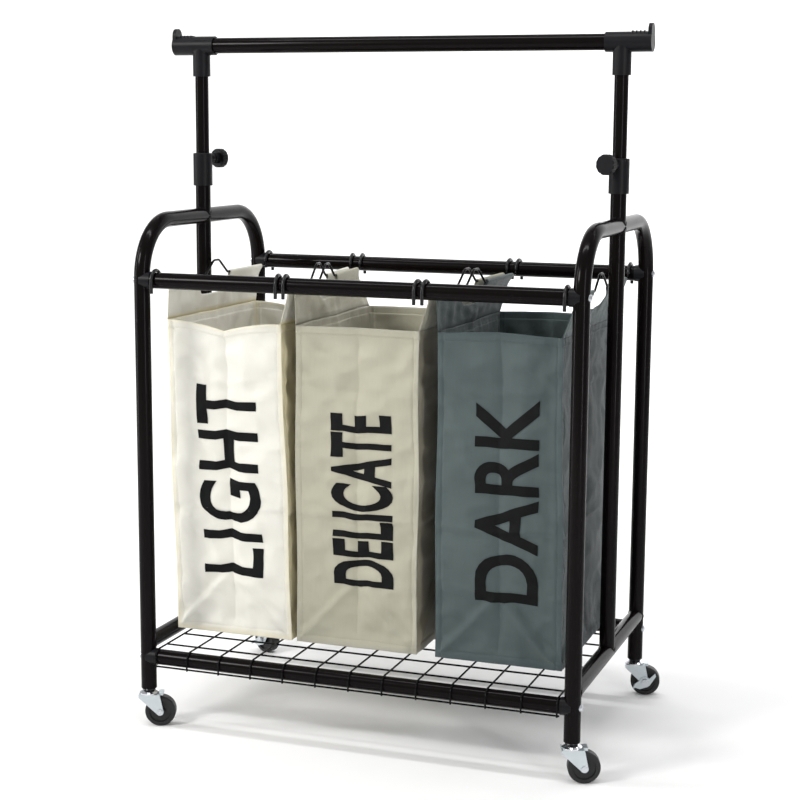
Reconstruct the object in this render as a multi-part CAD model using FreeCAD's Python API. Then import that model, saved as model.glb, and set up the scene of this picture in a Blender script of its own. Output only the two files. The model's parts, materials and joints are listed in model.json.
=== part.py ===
import FreeCAD, Part
import math
import os

Vec = FreeCAD.Vector
UP = Vec(0, 0, 1)

# ---- Frame tubing (mm) ------------------------------------------------------
TUBE_OD = 25.4              # one-inch tube for legs, rails and hanging bar
TUBE_WALL = 1.2
FRAME_WIDTH = 711.0         # leg centre to leg centre, left to right
FRAME_DEPTH = 440.0         # leg centre to leg centre, front to back
HOOP_TOP = 822.0            # centre line of the hoop's level top
HOOP_BEND = 90.0            # centre-line radius of the hoop's two bends
SHELF_RAIL_Z = 117.0
SIDE_RAIL_Z = SHELF_RAIL_Z + 23.0
SIDE_RAIL_OD = TUBE_OD - 0.2
BAG_RAIL_Z = HOOP_TOP - HOOP_BEND - 1.0
TUBE_R = TUBE_OD / 2.0
TUBE_BORE = TUBE_R - TUBE_WALL
LEG_X = FRAME_WIDTH / 2.0
LEG_Y = FRAME_DEPTH / 2.0
RAIL_END = LEG_X - TUBE_R - 5.0
SADDLE_DEEP = 20.0          # how far a saddle's plug goes into its rail
SADDLE_WALL = 1.0
BOLT_R = 3.0
BOLT_HOLE = 3.2

# ---- Clearances -------------------------------------------------------------
RUNNING = 0.05              # radial, shaft in its own hole
FREE = 0.3                  # between faces that move past each other
HOOK_GAP = 0.6              # hook sleeve to bag rail
FIT = 0.1                   # radial, fixed piece in a fixed piece

# ---- Telescoping hanging rail -----------------------------------------------
POST_OD = TUBE_OD - 0.4
POST_ID = POST_OD - 2.4
UPRIGHT_OD = POST_ID - 0.6
UPRIGHT_WALL = 1.2
UPRIGHT_BOTTOM = HOOP_TOP / 2.0 - 1.0
BAR_Z = HOOP_TOP + 280.0
STUB_TOP = HOOP_TOP + 72.8
COLLAR_BOTTOM = HOOP_TOP + 50.0
COLLAR_TOP = HOOP_TOP + 104.0
COLLAR_OD = POST_OD + 7.0
COLLAR_BOSS = COLLAR_OD / 2 + 8.0       # post axis to the end of the boss
KNOB_Z = HOOP_TOP + 95.0
KNOB_REACH = COLLAR_BOSS + 16.0         # post axis to the middle of the knob disc
KNOB_THICK = 12.0
KNOB_RADIUS = 16.0
KNOB_FLUTES = 12
KNOB_TURN_LEFT = 72.0       # heading of each knob about the post
KNOB_TURN_RIGHT = 254.0

# ---- Tee fittings -----------------------------------------------------------
TEE_OD = TUBE_OD + 5.6
TEE_NECK_OD = UPRIGHT_OD + 7.0
TEE_NECK_BOTTOM = BAR_Z - 50.0
TEE_INNER_X = LEG_X - 25.5
TEE_OUTER_X = LEG_X + 47.5
BAR_END = LEG_X + 33.0      # bottom of the tee's bore for the bar
TEE_RIBS = 4
TEE_RIB_START = LEG_X + 16.5
TEE_RIB_PITCH = 6.0
OVERALL_HEIGHT = BAR_Z + 28.0
TONGUE_THICK = 6.0
TONGUE_WIDTH = 24.0

# ---- Wire shelf -------------------------------------------------------------
SHELF_WIRE = 3.0
SHELF_CROSS_COUNT = 13
SHELF_LONG_COUNT = 7
SHELF_LONG_PITCH = (LEG_Y - 34.0) / 3.0
SHELF_MARGIN = 7.75         # outer cross wire to the leg's inner face
SHELF_TAIL = 3.0            # a long wire's end past the outer cross wire

# ---- Bags and their wire hangers --------------------------------------------
HANGER_WIRE = 3.8
HANGER_Z = BAG_RAIL_Z - 7.0
ARCH_Z = HANGER_Z + 23.5
ARCH_FOOT = 44.0            # half the hand arch's width at its foot and at its crown
ARCH_CROWN = 10.0
ARCH_BEND = 14.0
HOOK_SLEEVE_OD = 5.5
HOOK_TIP_Z = BAG_RAIL_Z - 18.0
BAG_WIDTH = 206.0
BAG_BOTTOM = SHELF_RAIL_Z + 28.0
HEM_Z = BAG_RAIL_Z - 69.0
HEM_BAND = 13.0
HEM_EXTRA = 0.8
CLOTH = 1.6
SEAM_INSET = 0.2            # a flap's faces inside the wall that it grows from
SEAM_DEEP = 3.0             # how far a flap reaches down into that wall
FOOT_BAND = 4.0             # straight-sided foot of the bag's inside
BAG_FRONT_TOP = 68.0 - LEG_Y
BAG_FRONT_BOTTOM = 76.0 - LEG_Y
BAG_BACK_TOP = LEG_Y - 48.0
BAG_BACK_BOTTOM = LEG_Y - 30.0
FLAP_FRONT = 50.0 - LEG_Y
FLAP_BACK = LEG_Y - 38.0
POCKET_END = LEG_Y - 18.0   # the hanger's pocket is bored out to here
SLOT_HALF = 50.0
SLOT_BOTTOM = HANGER_Z - 31.0
SLOT_CORNER = 14.0
HANGER_REACH = 334.0        # the outermost hanger in the list of bags
SPREAD = (LEG_X - 21.5) / HANGER_REACH
# name, centre of the foot, left and right side at the hem, then each hanger's
# place on the front and the back rail; all are multiplied by SPREAD
BAGS = (
    ("light", -237.0, -339.5, -148.0, (-331.0, -334.0), (-121.0, -171.5)),
    ("delicate", -22.0, -122.0, 84.0, (-108.0, -153.0), (105.0, 118.5)),
    ("dark", 215.0, 116.0, 312.0, (118.0, 135.0), (334.0, 329.0)),
)

# ---- Casters ----------------------------------------------------------------
WHEEL_RADIUS = 25.0
WHEEL_WIDTH = 20.0
WHEEL_EDGE = 3.0
DISH_RADIUS = WHEEL_RADIUS - 7.0
DISH_DEEP = 2.5
HUB_WIDTH = 23.8
HUB_RADIUS = 8.0
TRAIL = 18.6                # swivel axis to axle, level
AXLE_OD = 6.0
STEM_OD = 8.0
STEM_TOP_OD = 10.0
FORK_INNER = 12.2           # half the gap between the fork plates
FORK_THICK = 1.8
FORK_BACK = -16.0           # the fork's top plate, along the trail
FORK_FRONT = 18.5
FORK_TOP_LOW = 2 * WHEEL_RADIUS + 2.0
FORK_TOP_HIGH = FORK_TOP_LOW + 2.0
RACE_RADIUS = 16.0
RACE_EDGE = 1.6
RACE_TOP = FORK_TOP_HIGH + 6.0
LEG_BOTTOM = RACE_TOP + 3.5
PLUG_DEEP = 34.0
CASTERS = (
    ("front_left", -1, -1, 20.0, False),
    ("front_right", 1, -1, 20.0, False),
    ("rear_left", -1, 1, -25.0, True),
    ("rear_right", 1, 1, 12.0, True),
)

nodes = {}


def rod(a, b, radius):
    axis = b.sub(a)
    return Part.makeCylinder(radius, axis.Length, a, axis)


def tube(a, b, outer, inner):
    return rod(a, b, outer).cut(rod(a, b, inner))


def block(low, high):
    size = high.sub(low)
    return Part.makeBox(size.x, size.y, size.z, low)


def bent_path(points, radii):
    """Lines through the points, each inner corner rounded to its radius."""
    edges = []
    start = points[0]
    for i, radius in enumerate(radii):
        corner = points[i + 1]
        back = points[i].sub(corner).normalize()
        ahead = points[i + 2].sub(corner).normalize()
        half = back.getAngle(ahead) / 2.0
        run = radius / math.tan(half)
        into = corner + back * run
        out = corner + ahead * run
        inward = (back + ahead).normalize()
        middle = corner + inward * (radius / math.sin(half) - radius)
        if into.sub(start).Length > 1e-4:
            edges.append(Part.LineSegment(start, into).toShape())
        edges.append(Part.Arc(into, middle, out).toShape())
        start = out
    if points[-1].sub(start).Length > 1e-4:
        edges.append(Part.LineSegment(start, points[-1]).toShape())
    return Part.Wire(edges)


def swept(path, radius):
    first = path.OrderedEdges[0]
    at = first.valueAt(first.FirstParameter)
    heading = first.tangentAt(first.FirstParameter)
    disc = Part.Face(Part.Wire(Part.makeCircle(radius, at, heading)))
    return path.makePipe(disc)


def prism_y(outline, low, high):
    """Outline of (x, z) pairs pushed along Y."""
    points = [Vec(x, low, z) for x, z in outline]
    points.append(points[0])
    face = Part.Face(Part.makePolygon(points))
    return face.extrude(Vec(0, high - low, 0))


def fused(shapes):
    return shapes[0].multiFuse(shapes[1:]).removeSplitter()


def one(shape):
    """The single solid inside a boolean result."""
    solids = shape.Solids
    if len(solids) != 1:
        raise ValueError("expected one solid, found %d" % len(solids))
    return solids[0]


def add(name, shapes):
    parts = shapes if isinstance(shapes, list) else [shapes]
    nodes[name] = parts


# ---- Hoops, posts and rails -------------------------------------------------

def hoop_path(x):
    corners = [
        Vec(x, -LEG_Y, LEG_BOTTOM),
        Vec(x, -LEG_Y, HOOP_TOP),
        Vec(x, LEG_Y, HOOP_TOP),
        Vec(x, LEG_Y, LEG_BOTTOM),
    ]
    return bent_path(corners, [HOOP_BEND, HOOP_BEND])


def bolt_axis(side, row, z):
    outer = Vec(side * (LEG_X + TUBE_R), row * LEG_Y, z)
    inner = Vec(side * (RAIL_END - SADDLE_DEEP + 2.0), row * LEG_Y, z)
    return outer, inner


def make_hoop(side, filled):
    x = side * LEG_X
    hoop = filled.cut(swept(hoop_path(x), TUBE_BORE))
    bore = rod(Vec(x, 0, HOOP_TOP - 30), Vec(x, 0, HOOP_TOP + 30), POST_ID / 2)
    hoop = hoop.cut(bore)
    for row in (-1, 1):
        for z in (BAG_RAIL_Z, SHELF_RAIL_Z):
            outer, inner = bolt_axis(side, row, z)
            hoop = hoop.cut(rod(outer + Vec(side * 5, 0, 0), inner, BOLT_HOLE))
    return one(hoop)


def make_side_rail(side, filled):
    x = side * LEG_X
    a = Vec(x, -LEG_Y, SIDE_RAIL_Z)
    b = Vec(x, LEG_Y, SIDE_RAIL_Z)
    radius = SIDE_RAIL_OD / 2
    return one(tube(a, b, radius, radius - TUBE_WALL).cut(filled))


def make_post(side, filled):
    x = side * LEG_X
    whole = tube(Vec(x, 0, SIDE_RAIL_Z), Vec(x, 0, STUB_TOP), POST_OD / 2, POST_ID / 2)
    rail = rod(Vec(x, -60, SIDE_RAIL_Z), Vec(x, 60, SIDE_RAIL_Z), SIDE_RAIL_OD / 2)
    pieces = whole.cut(filled).cut(rail).Solids
    pieces.sort(key=lambda s: s.CenterOfMass.z)
    return pieces[0], pieces[-1]


def make_rail(row, z):
    a = Vec(-RAIL_END, row * LEG_Y, z)
    b = Vec(RAIL_END, row * LEG_Y, z)
    return tube(a, b, TUBE_R, TUBE_BORE)


def make_saddle(side, row, z, filled):
    end = Vec(side * RAIL_END, row * LEG_Y, z)
    deep = Vec(side * LEG_X, row * LEG_Y, z)
    inside = end - Vec(side * SADDLE_DEEP, 0, 0)
    ring = rod(end, deep, TUBE_R + SADDLE_WALL)
    plug = rod(inside, end, TUBE_BORE - FIT)
    body = ring.fuse(plug).cut(filled)
    return one(body.cut(rod(inside, deep, BOLT_HOLE)))


def make_bolt(side, row, z, filled):
    outer, inner = bolt_axis(side, row, z)
    out = Vec(side, 0, 0)
    head = rod(outer - out * 4, outer + out * 3.2, 6.0)
    dome = Part.makeSphere(8.0, outer - out * 4.6)
    head = head.common(dome).cut(filled)
    shank = rod(inner, outer + out * 0.4, BOLT_R)
    return one(head.fuse(shank))


def make_leg_plug(side, row):
    x = side * LEG_X
    y = row * LEG_Y
    foot = LEG_BOTTOM - 3.2
    flange = Part.makeCone(9.8, TUBE_R - 0.1, 3.2, Vec(x, y, foot))
    top = LEG_BOTTOM + PLUG_DEEP
    body = rod(Vec(x, y, LEG_BOTTOM), Vec(x, y, top), TUBE_BORE - FIT)
    hole = rod(Vec(x, y, foot - 1), Vec(x, y, top + 1), STEM_TOP_OD / 2 + FIT)
    return one(flange.fuse(body).cut(hole))


def make_frame():
    for side, word in ((-1, "left"), (1, "right")):
        filled = swept(hoop_path(side * LEG_X), TUBE_R)
        lower, stub = make_post(side, filled)
        add(word + "_hoop", make_hoop(side, filled))
        add(word + "_side_rail", make_side_rail(side, filled))
        add(word + "_post", lower)
        add(word + "_post_stub", stub)
        for row in (-1, 1):
            nodes.setdefault("leg_plugs", []).append(make_leg_plug(side, row))
            for z in (BAG_RAIL_Z, SHELF_RAIL_Z):
                saddle = make_saddle(side, row, z, filled)
                bolt = make_bolt(side, row, z, filled)
                nodes.setdefault("rail_end_saddles", []).append(saddle)
                nodes.setdefault("rail_bolts", []).append(bolt)
    for row, word in ((-1, "front"), (1, "rear")):
        add(word + "_bag_rail", make_rail(row, BAG_RAIL_Z))
        add(word + "_shelf_rail", make_rail(row, SHELF_RAIL_Z))


# ---- Wire shelf -------------------------------------------------------------

def make_shelf():
    """Cross wires bend down over both shelf rails; long wires are spot-welded under."""
    radius = SHELF_WIRE / 2.0
    around = TUBE_R + radius + 0.2
    top = SHELF_RAIL_Z + around
    reach = LEG_Y + around
    low = SHELF_RAIL_Z - TUBE_R - radius
    span = LEG_X - TUBE_R - SHELF_MARGIN
    crosses = []
    ends = []
    for i in range(SHELF_CROSS_COUNT):
        x = -span + 2.0 * span * i / (SHELF_CROSS_COUNT - 1)
        crosses.append(rod(Vec(x, -LEG_Y, top), Vec(x, LEG_Y, top), radius))
        for row in (-1, 1):
            corners = [Vec(x, row * LEG_Y, top), Vec(x, row * reach, top), Vec(x, row * reach, low)]
            ends.append(swept(bent_path(corners, [around]), radius).Solids[0])
    tail = span + SHELF_TAIL
    half = SHELF_LONG_COUNT // 2
    under = [(i * SHELF_LONG_PITCH, top - SHELF_WIRE) for i in range(-half, half + 1)]
    under += [(y, low + radius) for y in (SHELF_WIRE - reach, reach - SHELF_WIRE)]
    longs = [rod(Vec(-tail, y, z), Vec(tail, y, z), radius) for y, z in under]
    add("shelf_cross_wires", crosses)
    add("shelf_wire_ends", ends)
    add("shelf_long_wires", longs)


# ---- Telescoping hanging rail -----------------------------------------------

def make_collar(side, turn):
    x = side * LEG_X
    outer = rod(Vec(x, 0, COLLAR_BOTTOM), Vec(x, 0, COLLAR_TOP), COLLAR_OD / 2)
    rim = max(outer.Edges, key=lambda e: e.CenterOfMass.z)
    outer = outer.makeFillet(2.0, [rim])
    way = heading(turn)
    boss = rod(Vec(x, 0, KNOB_Z) + way * 4, Vec(x, 0, KNOB_Z) + way * COLLAR_BOSS, 8.0)
    body = outer.fuse(boss)
    low = rod(Vec(x, 0, COLLAR_BOTTOM - 1), Vec(x, 0, STUB_TOP + 0.2), POST_OD / 2 + RUNNING)
    high = rod(Vec(x, 0, STUB_TOP), Vec(x, 0, COLLAR_TOP + 1), UPRIGHT_OD / 2 + RUNNING)
    screw = rod(Vec(x, 0, KNOB_Z), Vec(x, 0, KNOB_Z) + way * (COLLAR_BOSS + 1), BOLT_R + RUNNING)
    return one(body.cut(low).cut(high).cut(screw))


def heading(turn):
    angle = math.radians(turn)
    return Vec(math.cos(angle), math.sin(angle), 0)


def make_knob(side, turn):
    """Fluted disc on a round neck, bored for its screw."""
    way = heading(turn)
    origin = Vec(side * LEG_X, 0, KNOB_Z)
    half = KNOB_THICK / 2
    neck = rod(origin + way * (COLLAR_BOSS + FREE), origin + way * KNOB_REACH, 9.0)
    disc = rod(origin + way * (KNOB_REACH - half), origin + way * (KNOB_REACH + half), KNOB_RADIUS)
    disc = disc.makeFillet(1.5, [e for e in disc.Edges if e.Curve.TypeId == "Part::GeomCircle"])
    body = disc.fuse(neck)
    across = way.cross(UP)
    for i in range(KNOB_FLUTES):
        angle = 2 * math.pi * i / KNOB_FLUTES
        out = across * math.cos(angle) + UP * math.sin(angle)
        middle = origin + out * (KNOB_RADIUS + 1.2)
        flute_end = way * (KNOB_REACH + KNOB_THICK)
        body = body.cut(rod(middle + way * (KNOB_REACH - KNOB_THICK), middle + flute_end, 2.4))
    bore = rod(origin + way * COLLAR_BOSS, origin + way * (KNOB_REACH + 3), BOLT_R + FIT)
    return one(body.cut(bore))


def make_knob_screw(side, turn):
    way = heading(turn)
    origin = Vec(side * LEG_X, 0, KNOB_Z)
    tip = UPRIGHT_OD / 2 + 0.35
    return rod(origin + way * tip, origin + way * (KNOB_REACH + 3 - FIT), BOLT_R)


def make_tee(side):
    axis = Vec(side, 0, 0)
    inner = Vec(side * TEE_INNER_X, 0, BAR_Z)
    outer = Vec(side * TEE_OUTER_X, 0, BAR_Z)
    neck_low = Vec(side * LEG_X, 0, TEE_NECK_BOTTOM)
    neck_high = Vec(side * LEG_X, 0, BAR_Z)
    sleeve = rod(inner, outer, TEE_OD / 2)
    neck = rod(neck_low, neck_high, TEE_NECK_OD / 2)
    tongue_root = Vec(outer.x, 0, OVERALL_HEIGHT - TONGUE_WIDTH / 2)
    back = outer - axis * TONGUE_THICK
    tongue = rod(Vec(back.x, 0, tongue_root.z), tongue_root, TONGUE_WIDTH / 2)
    low = Vec(min(back.x, outer.x), -TONGUE_WIDTH / 2, BAR_Z)
    high = Vec(max(back.x, outer.x), TONGUE_WIDTH / 2, tongue_root.z)
    shapes = [sleeve, neck, tongue, block(low, high)]
    for i in range(TEE_RIBS):
        x = side * (TEE_RIB_START + TEE_RIB_PITCH * i)
        rib = block(Vec(x - 1, -7, BAR_Z), Vec(x + 1, 7, BAR_Z + TEE_OD / 2 + 1.2))
        shapes.append(rib)
    body = shapes[0].multiFuse(shapes[1:])
    bar_end = Vec(side * BAR_END, 0, BAR_Z)
    body = body.cut(rod(inner - axis * 5, bar_end, TUBE_R + FIT))
    seat = Vec(side * LEG_X, 0, BAR_Z - TUBE_R - 2)
    return one(body.cut(rod(neck_low - UP * 5, seat, UPRIGHT_OD / 2 + FIT)))


def make_hanging_rail():
    for side, word, turn in ((-1, "left", KNOB_TURN_LEFT), (1, "right", KNOB_TURN_RIGHT)):
        foot = Vec(side * LEG_X, 0, UPRIGHT_BOTTOM)
        head = Vec(side * LEG_X, 0, BAR_Z - TUBE_R - 2.2)
        radius = UPRIGHT_OD / 2
        add(word + "_collar", make_collar(side, turn))
        add(word + "_knob", make_knob(side, turn))
        add(word + "_knob_screw", make_knob_screw(side, turn))
        add(word + "_upright", tube(foot, head, radius, radius - UPRIGHT_WALL))
        add(word + "_tee", make_tee(side))
    end = BAR_END - 0.2
    add("hanging_bar", tube(Vec(-end, 0, BAR_Z), Vec(end, 0, BAR_Z), TUBE_R, TUBE_BORE))


# ---- Hangers and bags -------------------------------------------------------

def hanger_point(ends, y, z):
    slope = (ends[1] - ends[0]) / FRAME_DEPTH
    return Vec(ends[0] + slope * (y + LEG_Y), y, z)


def hanger_paths(ends):
    """Whole wire, and the stretch of each hook that the vinyl covers."""
    around = TUBE_R + HOOK_GAP + HOOK_SLEEVE_OD / 2
    outer = LEG_Y + around
    inner = LEG_Y - around
    top = BAG_RAIL_Z + around
    drop = BAG_RAIL_Z - HANGER_Z
    half = [
        (outer, HOOK_TIP_Z),
        (outer, top),
        (inner, top),
        (inner, HANGER_Z),
        (ARCH_FOOT, HANGER_Z),
        (ARCH_CROWN, ARCH_Z),
    ]
    front = [hanger_point(ends, -y, z) for y, z in half]
    back = [hanger_point(ends, y, z) for y, z in reversed(half)]
    radii = [around, around, drop - 0.2, ARCH_BEND, ARCH_BEND]
    wire = bent_path(front + back, radii + radii[::-1])
    sleeves = []
    for end in (front[:4], back[::-1][:4]):
        tip = end[0] - UP * 1.2
        last = Vec(end[3].x, end[3].y, BAG_RAIL_Z + 0.5)
        sleeves.append(bent_path([tip, end[1], end[2], last], [around, around]))
    return wire, sleeves


def make_bag_shell(foot, rim, grow, low, high):
    """Tapered box of the bag between two heights, grown outward by grow."""
    half = SPREAD * BAG_WIDTH / 2
    share_low = (low - BAG_BOTTOM) / (HEM_Z - BAG_BOTTOM)
    share_high = (high - BAG_BOTTOM) / (HEM_Z - BAG_BOTTOM)
    rings = []
    for share, z in ((share_low, low), (share_high, high)):
        front = BAG_FRONT_BOTTOM + (BAG_FRONT_TOP - BAG_FRONT_BOTTOM) * share - grow
        back = BAG_BACK_BOTTOM + (BAG_BACK_TOP - BAG_BACK_BOTTOM) * share + grow
        left = foot - half + (rim[0] - foot + half) * share - grow
        right = foot + half + (rim[1] - foot - half) * share + grow
        corners = [Vec(left, front, z), Vec(right, front, z), Vec(right, back, z), Vec(left, back, z)]
        rings.append(Part.makePolygon(corners + corners[:1]))
    return Part.makeLoft(rings, True, True)


def make_flap(edge, side, ends):
    """Side panel carried on above the hem up to the hanger wire."""
    foot = HEM_Z - SEAM_DEEP
    outer = edge - side * SEAM_INSET
    inner = edge - side * (CLOTH - SEAM_INSET)
    seam_front = BAG_FRONT_TOP + 2 * SEAM_INSET
    seam_back = BAG_BACK_TOP - 2 * SEAM_INSET
    low = [
        Vec(outer, seam_front, foot),
        Vec(inner, seam_front, foot),
        Vec(inner, seam_back, foot),
        Vec(outer, seam_back, foot),
    ]
    step = Vec(side * (CLOTH / 2 - SEAM_INSET), 0, 0)
    front = hanger_point(ends, FLAP_FRONT, HANGER_Z)
    back = hanger_point(ends, FLAP_BACK, HANGER_Z)
    high = [front + step, front - step, back - step, back + step]
    rings = [Part.makePolygon(low + low[:1]), Part.makePolygon(high + high[:1])]
    sheet = Part.makeLoft(rings, True, True)
    pocket = rod(front, back, HANGER_WIRE / 2 + RUNNING + CLOTH)
    return sheet.fuse(pocket)


def make_slot(x):
    wide = 60.0
    a = x - wide
    b = x + wide
    high = ARCH_Z + 20
    turn = SLOT_BOTTOM + SLOT_CORNER
    near = SLOT_HALF - SLOT_CORNER
    shapes = [block(Vec(a, -SLOT_HALF, turn), Vec(b, SLOT_HALF, high))]
    shapes.append(block(Vec(a, -near, SLOT_BOTTOM), Vec(b, near, high)))
    for y in (-near, near):
        shapes.append(rod(Vec(a, y, turn), Vec(b, y, turn), SLOT_CORNER))
    return shapes[0].multiFuse(shapes[1:])


def make_bag(foot, rim, ends_left, ends_right):
    shell = make_bag_shell(foot, rim, 0.0, BAG_BOTTOM, HEM_Z)
    hem = make_bag_shell(foot, rim, HEM_EXTRA, HEM_Z - HEM_BAND, HEM_Z)
    floor = BAG_BOTTOM + CLOTH
    hollow = make_bag_shell(foot, rim, -CLOTH, floor + FOOT_BAND, HEM_Z + 5)
    sole = min(hollow.Faces, key=lambda f: f.CenterOfMass.z)
    body = shell.fuse(hem).cut(hollow).cut(sole.extrude(Vec(0, 0, -FOOT_BAND)))
    for side, edge, ends in ((-1, rim[0], ends_left), (1, rim[1], ends_right)):
        flap = make_flap(edge, side, ends)
        middle = (ends[0] + ends[1]) / 2
        bore_a = hanger_point(ends, -POCKET_END, HANGER_Z)
        bore_b = hanger_point(ends, POCKET_END, HANGER_Z)
        flap = flap.cut(rod(bore_a, bore_b, HANGER_WIRE / 2 + RUNNING))
        body = body.fuse(flap.cut(make_slot(middle)))
    return one(body)


def make_bags():
    for name, foot, left, right, ends_left, ends_right in BAGS:
        foot, left, right = [SPREAD * x for x in (foot, left, right)]
        ends_left, ends_right = [[SPREAD * x for x in pair] for pair in (ends_left, ends_right)]
        covers = []
        for word, ends in (("left", ends_left), ("right", ends_right)):
            path, hooks = hanger_paths(ends)
            wire = swept(path, HANGER_WIRE / 2)
            add(name + "_bag_" + word + "_hanger", wire.Solids[0])
            for hook in hooks:
                sheath = swept(hook, HOOK_SLEEVE_OD / 2)
                grown = swept(path, HANGER_WIRE / 2 + FIT)
                covers.append(max(sheath.cut(grown).Solids, key=lambda s: s.Volume))
        add(name + "_bag_hook_sleeves", covers)
        add(name + "_bag", make_bag(foot, (left, right), ends_left, ends_right))


# ---- Casters: drawn trailing along +X, then turned and moved to the leg -----

def make_wheel():
    centre = Vec(TRAIL, 0, WHEEL_RADIUS)
    half = WHEEL_WIDTH / 2
    tread = rod(centre - Vec(0, half, 0), centre + Vec(0, half, 0), WHEEL_RADIUS)
    tread = tread.makeFillet(WHEEL_EDGE, [e for e in tread.Edges if e.Curve.TypeId == "Part::GeomCircle"])
    for way in (-1, 1):
        face = centre + Vec(0, way * half, 0)
        dish = rod(face, face - Vec(0, way * DISH_DEEP, 0), DISH_RADIUS)
        tread = tread.cut(dish)
    hub = rod(centre - Vec(0, HUB_WIDTH / 2, 0), centre + Vec(0, HUB_WIDTH / 2, 0), HUB_RADIUS)
    reach = Vec(0, HUB_WIDTH, 0)
    bore = rod(centre - reach, centre + reach, AXLE_OD / 2 + RUNNING)
    return one(tread.fuse(hub).cut(bore))


def make_fork():
    outer = FORK_INNER + FORK_THICK
    outline = [
        (FORK_BACK, FORK_TOP_HIGH),
        (FORK_BACK, FORK_TOP_HIGH - 5.0),
        (TRAIL - 4.5, WHEEL_RADIUS - 3.9),
        (TRAIL + 5.8, WHEEL_RADIUS + 1.2),
        (FORK_FRONT, FORK_TOP_HIGH),
    ]
    shapes = []
    for way in (-1, 1):
        low = min(way * FORK_INNER, way * outer)
        high = max(way * FORK_INNER, way * outer)
        shapes.append(prism_y(outline, low, high))
        end = Vec(TRAIL, low, WHEEL_RADIUS)
        shapes.append(rod(end, end + Vec(0, FORK_THICK, 0), 6.0))
    shapes.append(block(Vec(FORK_BACK, -outer, FORK_TOP_LOW), Vec(FORK_FRONT, outer, FORK_TOP_HIGH)))
    lip = Vec(FORK_FRONT + 5.0, 9, FORK_TOP_HIGH + 2.5)
    shapes.append(block(Vec(FORK_FRONT - 1.5, -9, FORK_TOP_LOW), lip))
    body = shapes[0].multiFuse(shapes[1:])
    hole_low = Vec(0, 0, FORK_TOP_LOW - 5)
    hole_high = Vec(0, 0, FORK_TOP_HIGH + 5)
    body = body.cut(rod(hole_low, hole_high, STEM_OD / 2 + RUNNING))
    pin = Vec(TRAIL, 0, WHEEL_RADIUS)
    return one(body.cut(rod(pin - Vec(0, 30, 0), pin + Vec(0, 30, 0), AXLE_OD / 2 + FIT)))


def make_stem():
    """Rivet head, neck through the fork, domed race and the stem in the leg."""
    plate_low = FORK_TOP_LOW - FREE
    plate_high = FORK_TOP_HIGH + FREE
    rivet = rod(Vec(0, 0, plate_low - 2.4), Vec(0, 0, plate_low), 6.0)
    neck = rod(Vec(0, 0, plate_low - 1), Vec(0, 0, plate_high + 1), STEM_OD / 2)
    edge = Vec(0, 0, plate_high + RACE_EDGE)
    rim = rod(Vec(0, 0, plate_high), edge, RACE_RADIUS)
    dome = Part.makeCone(RACE_RADIUS, RACE_RADIUS - 6.5, RACE_TOP - edge.z, edge)
    stem_top = Vec(0, 0, LEG_BOTTOM + PLUG_DEEP - 2)
    stem = rod(Vec(0, 0, RACE_TOP - 1), stem_top, STEM_TOP_OD / 2)
    return one(rivet.multiFuse([neck, rim, dome, stem]))


def make_axle(braked):
    half = FORK_INNER + FORK_THICK
    centre = Vec(TRAIL, 0, WHEEL_RADIUS)
    far = centre + Vec(0, half + 0.2, 0)
    cap = rod(far, far + Vec(0, 1.6, 0), 4.5)
    reach = half + 2.4 if braked else half + 0.2
    near = centre - Vec(0, reach, 0)
    pin = rod(near, far, AXLE_OD / 2)
    if not braked:
        return one(pin.multiFuse([cap, rod(near, near - Vec(0, 1.6, 0), 4.5)]))
    ring = []
    for i in range(7):
        angle = math.radians(60 * i + 10)
        ring.append(near + Vec(6.2 * math.cos(angle), 0, 6.2 * math.sin(angle)))
    nut = Part.Face(Part.makePolygon(ring)).extrude(Vec(0, -4, 0))
    tip = rod(near, near - Vec(0, 5, 0), AXLE_OD / 2)
    return one(pin.multiFuse([cap, nut, tip]))


def make_lever():
    """Pressed plate on the axle, with a short wing up and a foot tab out."""
    front = FORK_INNER + FORK_THICK + FREE
    low = -front - 1.5
    x = TRAIL
    z = WHEEL_RADIUS
    centre = Vec(x, low, z)
    plate = rod(centre, centre + Vec(0, 1.5, 0), 9.5)
    wing = [(x - 3, z + 8), (x + 8, z + 7), (x + 17, z + 16), (x + 18.5, z + 11), (x + 8, z - 6), (x - 2, z - 8)]
    foot = [(x + 2, z - 9), (x - 4, z + 6), (x - 18, z - 4), (x - 20, z - 10), (x - 8, z - 13)]
    tab = [(x - 18, z - 4), (x - 20, z - 10), (x - 18.6, z - 10.4), (x - 16.6, z - 4.4)]
    shapes = [plate, prism_y(wing, low, -front), prism_y(foot, low, -front)]
    shapes.append(prism_y(tab, low - 7, low + 0.5))
    body = shapes[0].multiFuse(shapes[1:])
    hole = rod(centre - Vec(0, 5, 0), centre + Vec(0, 5, 0), AXLE_OD / 2 + RUNNING)
    return one(body.cut(hole))


def placed(shape, side, row, turn):
    copy = shape.copy()
    copy.rotate(Vec(0, 0, 0), UP, turn)
    copy.translate(Vec(side * LEG_X, row * LEG_Y, 0))
    return copy


def make_casters():
    for name, side, row, turn, braked in CASTERS:
        spot = (side, row, turn)
        add(name + "_caster_stem", placed(make_stem(), *spot))
        add(name + "_caster_fork", placed(make_fork(), *spot))
        add(name + "_caster_wheel", placed(make_wheel(), *spot))
        add(name + "_caster_axle", placed(make_axle(braked), *spot))
        if braked:
            add(name + "_brake_lever", placed(make_lever(), *spot))


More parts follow.
